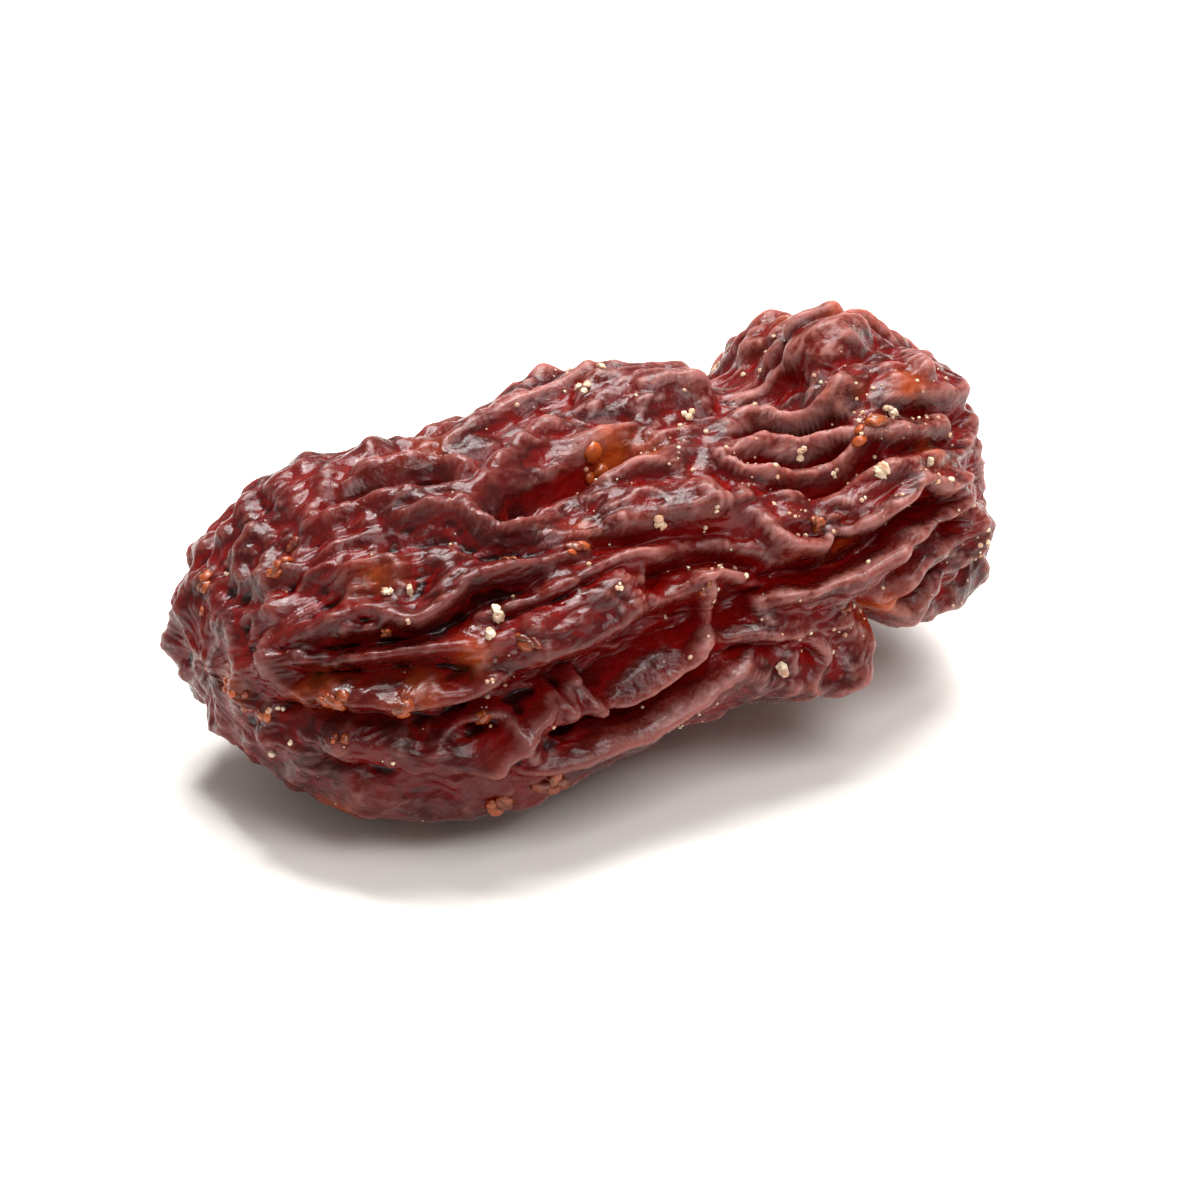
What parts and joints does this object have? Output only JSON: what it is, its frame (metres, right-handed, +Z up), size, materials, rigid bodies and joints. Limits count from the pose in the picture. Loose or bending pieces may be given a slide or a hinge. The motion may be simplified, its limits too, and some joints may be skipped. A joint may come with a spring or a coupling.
{
  "type": "raisin",
  "caption": "Whole dried grape lying on its side: a plump oblong raisin with deep lengthwise folds, a blunt stem end and a small flat spot to rest on.",
  "frame": {"origin": "centre of the bounding box's bottom, on the surface that the raisin rests on", "axes": "+X along the raisin towards its stem end, +Z up, -Y towards the camera's side"},
  "size_m": [0.0156, 0.0094, 0.0065],
  "materials": {
    "raisin_skin": "waxy dried grape skin, semi-gloss, with a few pale sugar grains"
  },
  "bodies": {
    "root": {"raisin": "raisin_skin"}
  },
  "joints": []
}
